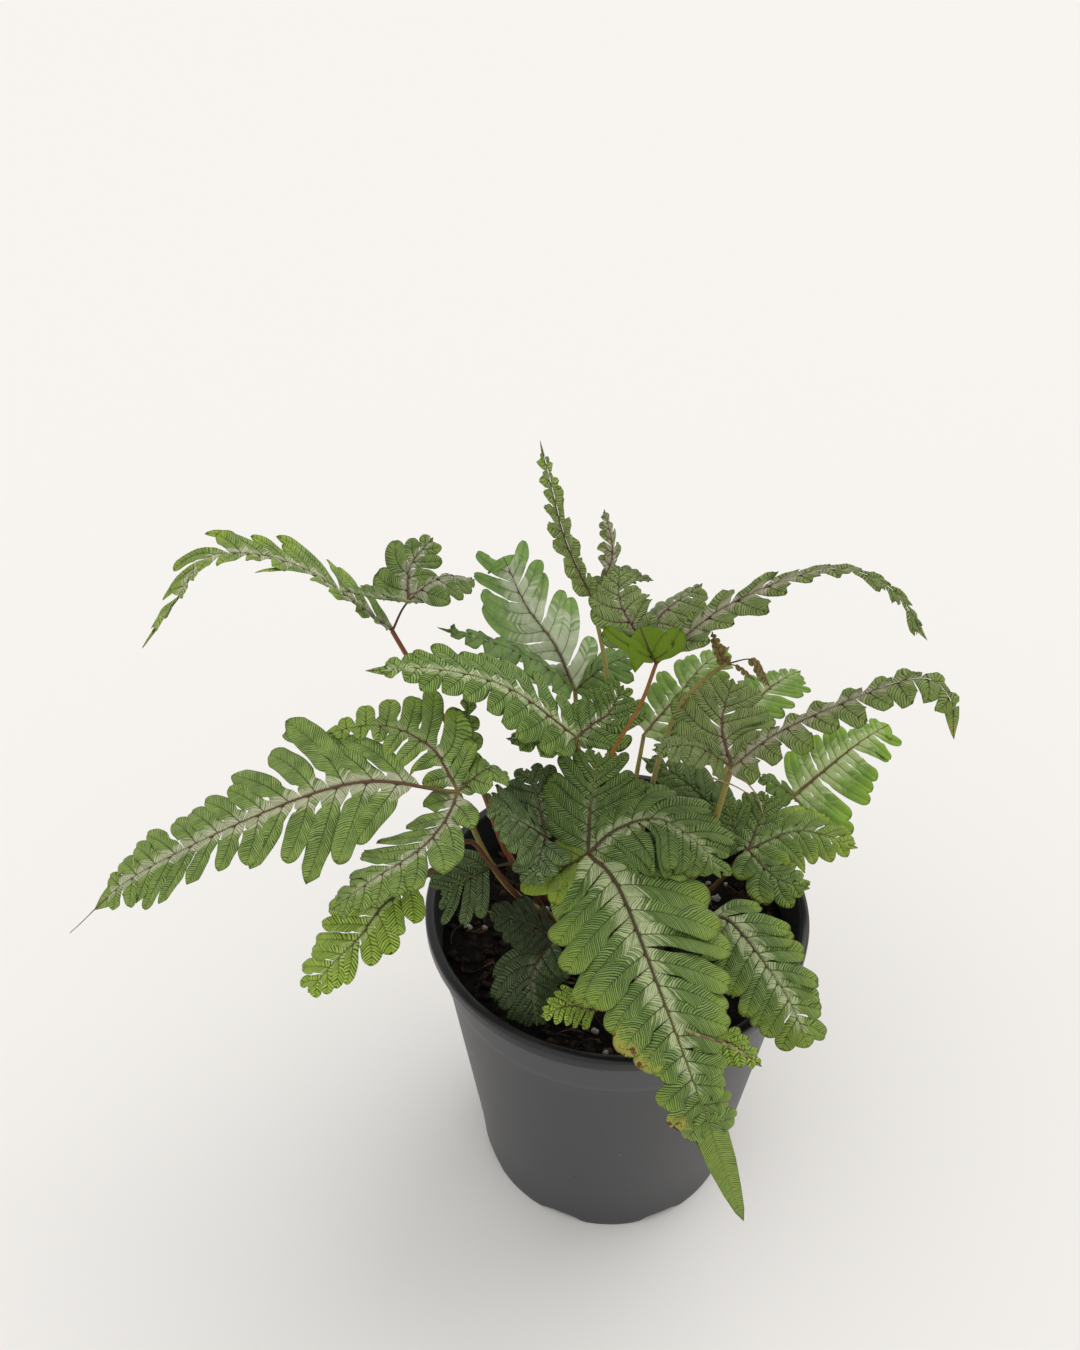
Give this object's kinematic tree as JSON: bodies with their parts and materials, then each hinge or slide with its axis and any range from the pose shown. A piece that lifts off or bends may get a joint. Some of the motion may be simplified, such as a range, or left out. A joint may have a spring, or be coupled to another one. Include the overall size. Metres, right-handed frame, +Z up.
{
  "type": "potted candy stripe fern",
  "caption": "Fern with arching, forked, lobed fronds growing from a crown in potting mix in a round tapered nursery pot.",
  "frame": {"origin": "middle of the pot's base, on the surface that the pot stands on", "axes": "+Z up along the pot's axis; -Y towards the front frond that hangs over the rim; +X to the right seen from the front"},
  "size_m": [0.322, 0.2188, 0.3452],
  "materials": {
    "pot": "satin",
    "potting_mix": "matte",
    "crown": "matte",
    "stalk_brown": "satin",
    "stalk_olive": "satin",
    "leaf_striped": "satin",
    "leaf_silver": "satin",
    "leaf_bright": "satin",
    "leaf_mid": "satin",
    "leaf_dark": "satin"
  },
  "bodies": {
    "root": {"pot": "pot", "potting_mix": "potting_mix", "crown": "crown", "front_stalk": "stalk_brown", "front_blade": "leaf_striped", "left_stalk": "stalk_olive", "left_blade": "leaf_striped", "left_low_stalk": "stalk_brown", "left_low_blade": "leaf_bright", "left_high_stalk": "stalk_brown", "left_high_blade": "leaf_striped", "back_left_stalk": "stalk_olive", "back_left_blade": "leaf_silver", "centre_left_stalk": "stalk_olive", "centre_left_blade": "leaf_striped", "top_stalk": "stalk_olive", "top_blade": "leaf_mid", "centre_top_stalk": "stalk_brown", "centre_top_blade": "leaf_mid", "right_stalk": "stalk_olive", "right_blade": "leaf_mid", "young_stalk": "stalk_olive", "young_blade": "leaf_dark", "back_centre_stalk": "stalk_olive", "back_centre_blade": "leaf_bright", "back_right_stalk": "stalk_olive", "back_right_blade": "leaf_bright", "right_back_stalk": "stalk_olive", "right_back_blade": "leaf_bright", "right_middle_stalk": "stalk_brown", "right_middle_blade": "leaf_striped", "inner_left_stalk": "stalk_brown", "inner_left_blade": "leaf_dark", "front_right_stalk": "stalk_brown", "front_right_blade": "leaf_striped", "inner_front_stalk": "stalk_brown", "inner_front_blade": "leaf_dark", "sprout_stalk": "stalk_olive", "sprout_blade": "leaf_bright", "inner_low_stalk": "stalk_brown", "inner_low_blade": "leaf_dark", "rim_right_stalk": "stalk_olive", "rim_right_blade": "leaf_bright"}
  },
  "joints": []
}
